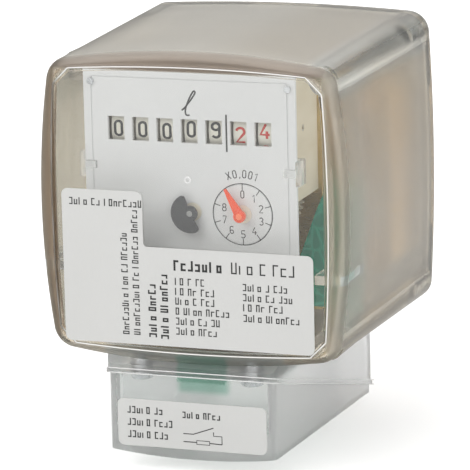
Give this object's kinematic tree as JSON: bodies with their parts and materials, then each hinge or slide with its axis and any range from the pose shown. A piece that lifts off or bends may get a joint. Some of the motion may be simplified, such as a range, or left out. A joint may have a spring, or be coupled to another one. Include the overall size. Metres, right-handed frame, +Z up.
{
  "type": "oval gear flow meter",
  "caption": "Small oval gear flow meter with a clear hood over a numeral roller register, and a lower pulser case with a cable entry.",
  "frame": {"origin": "centre of the four mounting threads on the rear face", "axes": "+X to the right seen from the front, +Y out of the rear face towards the wall, +Z up towards the inlet port"},
  "size_m": [0.0663, 0.0818, 0.0873],
  "materials": {
    "brass": "turned and milled brass",
    "steel": "bright steel",
    "plate": "stamped brass sheet",
    "base": "matt cast aluminium",
    "gear_black": "filled black plastic",
    "magnet": "sintered magnet",
    "rubber": "black rubber",
    "white_plastic": "natural white plastic",
    "roller": "cream plastic with printed numerals",
    "hood_clear": "clear plastic with frosted side walls",
    "case_clear": "translucent grey plastic",
    "clip_clear": "clear plastic",
    "dial": "light grey printed plate",
    "pointer_red": "red-orange plastic",
    "indicator": "dark grey plastic",
    "label": "printed paper label",
    "board": "green lacquered circuit board",
    "terminal": "green plastic",
    "reed_glass": "glass tube with metal leads",
    "gland": "grey plastic"
  },
  "bodies": {
    "meter": {"meter_body": "brass", "gear_axles": "steel", "chamber_seal": "rubber", "chamber_cover": "brass", "cover_screws": "steel", "inlet_strainer": "steel", "strainer_ring": "brass", "base_plate": "base", "base_screws": "steel", "hood_seal": "rubber", "hood": "hood_clear", "hood_screws": "steel", "standoffs": "brass", "register_rear_plate": "plate", "register_mid_plate": "plate", "register_pillars": "brass", "register_frame": "white_plastic", "register_screws": "steel", "arbor_bushes": "brass", "roller_shaft": "steel", "transfer_shaft": "steel", "dial_plate": "dial", "dial_pins": "steel", "dial_clips": "clip_clear", "data_label": "label", "contact_label": "label", "pulser_case": "case_clear", "pulser_cap": "case_clear", "case_screws": "steel", "pulser_board": "board", "terminal_block": "terminal", "terminal_screws": "steel", "sensor_board": "board", "reed_switch": "reed_glass", "sensor_leads": "steel", "cable_gland": "gland"},
    "gear_a": {"oval_gear_a": "gear_black", "drive_magnets": "magnet"},
    "gear_b": {"oval_gear_b": "gear_black"},
    "rotor": {"follower_rotor": "white_plastic", "follower_magnets": "magnet"},
    "indicator": {"indicator_wheel": "white_plastic", "flow_indicator": "indicator"},
    "pointer_arbor": {"pointer_wheel": "white_plastic", "worm": "brass", "pointer": "pointer_red"},
    "cross_shaft_set": {"cross_shaft": "white_plastic"},
    "numeral_roller_1": {"roller_1": "roller"},
    "numeral_roller_2": {"roller_2": "roller"},
    "numeral_roller_3": {"roller_3": "roller"},
    "numeral_roller_4": {"roller_4": "roller"},
    "numeral_roller_5": {"roller_5": "roller"},
    "numeral_roller_6": {"roller_6": "roller"},
    "numeral_roller_7": {"roller_7": "roller"},
    "carry_pinion_1": {"transfer_pinion_1": "white_plastic"},
    "carry_pinion_2": {"transfer_pinion_2": "white_plastic"},
    "carry_pinion_3": {"transfer_pinion_3": "white_plastic"},
    "carry_pinion_4": {"transfer_pinion_4": "white_plastic"},
    "carry_pinion_5": {"transfer_pinion_5": "white_plastic"},
    "carry_pinion_6": {"transfer_pinion_6": "white_plastic"}
  },
  "joints": [
    {"name": "gear_a_spin", "type": "hinge", "parent": "meter", "child": "gear_a", "pos_m": [0.0095, -0.027, -0.0017], "axis": [0, 1, 0], "continuous": true},
    {"name": "gear_b_spin", "type": "hinge", "parent": "meter", "child": "gear_b", "pos_m": [-0.0095, -0.027, -0.0017], "axis": [0, 1, 0], "continuous": true},
    {"name": "rotor_spin", "type": "hinge", "parent": "meter", "child": "rotor", "pos_m": [0.0095, -0.045, -0.0017], "axis": [0, 1, 0], "continuous": true},
    {"name": "indicator_spin", "type": "hinge", "parent": "meter", "child": "indicator", "pos_m": [-0.0013, -0.06, -0.0017], "axis": [0, 1, 0], "continuous": true},
    {"name": "pointer_spin", "type": "hinge", "parent": "meter", "child": "pointer_arbor", "pos_m": [0.0095, -0.065, -0.0017], "axis": [0, 1, 0], "continuous": true},
    {"name": "cross_shaft_spin", "type": "hinge", "parent": "meter", "child": "cross_shaft_set", "pos_m": [0.0095, -0.0647, 0.0034], "axis": [1, 0, 0], "continuous": true},
    {"name": "numeral_7_spin", "type": "hinge", "parent": "meter", "child": "numeral_roller_7", "pos_m": [0, -0.0652, 0.015], "axis": [1, 0, 0], "continuous": true},
    {"name": "numeral_6_spin", "type": "hinge", "parent": "meter", "child": "numeral_roller_6", "pos_m": [0, -0.0652, 0.015], "axis": [1, 0, 0], "continuous": true},
    {"name": "numeral_5_spin", "type": "hinge", "parent": "meter", "child": "numeral_roller_5", "pos_m": [0, -0.0652, 0.015], "axis": [1, 0, 0], "continuous": true},
    {"name": "numeral_4_spin", "type": "hinge", "parent": "meter", "child": "numeral_roller_4", "pos_m": [0, -0.0652, 0.015], "axis": [1, 0, 0], "continuous": true},
    {"name": "numeral_3_spin", "type": "hinge", "parent": "meter", "child": "numeral_roller_3", "pos_m": [0, -0.0652, 0.015], "axis": [1, 0, 0], "continuous": true},
    {"name": "numeral_2_spin", "type": "hinge", "parent": "meter", "child": "numeral_roller_2", "pos_m": [0, -0.0652, 0.015], "axis": [1, 0, 0], "continuous": true},
    {"name": "numeral_1_spin", "type": "hinge", "parent": "meter", "child": "numeral_roller_1", "pos_m": [0, -0.0652, 0.015], "axis": [1, 0, 0], "continuous": true},
    {"name": "carry_1_spin", "type": "hinge", "parent": "meter", "child": "carry_pinion_1", "pos_m": [0, -0.0603, 0.02349], "axis": [1, 0, 0], "continuous": true},
    {"name": "carry_2_spin", "type": "hinge", "parent": "meter", "child": "carry_pinion_2", "pos_m": [0, -0.0603, 0.02349], "axis": [1, 0, 0], "continuous": true},
    {"name": "carry_3_spin", "type": "hinge", "parent": "meter", "child": "carry_pinion_3", "pos_m": [0, -0.0603, 0.02349], "axis": [1, 0, 0], "continuous": true},
    {"name": "carry_4_spin", "type": "hinge", "parent": "meter", "child": "carry_pinion_4", "pos_m": [0, -0.0603, 0.02349], "axis": [1, 0, 0], "continuous": true},
    {"name": "carry_5_spin", "type": "hinge", "parent": "meter", "child": "carry_pinion_5", "pos_m": [0, -0.0603, 0.02349], "axis": [1, 0, 0], "continuous": true},
    {"name": "carry_6_spin", "type": "hinge", "parent": "meter", "child": "carry_pinion_6", "pos_m": [0, -0.0603, 0.02349], "axis": [1, 0, 0], "continuous": true}
  ],
  "couplings": [
    {"joint": "gear_b_spin", "follows": "gear_a_spin", "ratio": -1},
    {"joint": "rotor_spin", "follows": "gear_a_spin", "ratio": 1},
    {"joint": "indicator_spin", "follows": "gear_a_spin", "ratio": -1},
    {"joint": "pointer_spin", "follows": "gear_a_spin", "ratio": 0.5},
    {"joint": "cross_shaft_spin", "follows": "gear_a_spin", "ratio": -0.05},
    {"joint": "numeral_7_spin", "follows": "gear_a_spin", "ratio": 0.05},
    {"joint": "numeral_6_spin", "follows": "gear_a_spin", "ratio": 0.005},
    {"joint": "numeral_5_spin", "follows": "gear_a_spin", "ratio": 0.0005},
    {"joint": "numeral_4_spin", "follows": "gear_a_spin", "ratio": 0.00005},
    {"joint": "numeral_3_spin", "follows": "gear_a_spin", "ratio": 0.000005},
    {"joint": "numeral_2_spin", "follows": "gear_a_spin", "ratio": 0.0000005},
    {"joint": "numeral_1_spin", "follows": "gear_a_spin", "ratio": 0.00000005},
    {"joint": "carry_1_spin", "follows": "gear_a_spin", "ratio": -0.000000125},
    {"joint": "carry_2_spin", "follows": "gear_a_spin", "ratio": -0.00000125},
    {"joint": "carry_3_spin", "follows": "gear_a_spin", "ratio": -0.0000125},
    {"joint": "carry_4_spin", "follows": "gear_a_spin", "ratio": -0.000125},
    {"joint": "carry_5_spin", "follows": "gear_a_spin", "ratio": -0.00125},
    {"joint": "carry_6_spin", "follows": "gear_a_spin", "ratio": -0.0125}
  ]
}
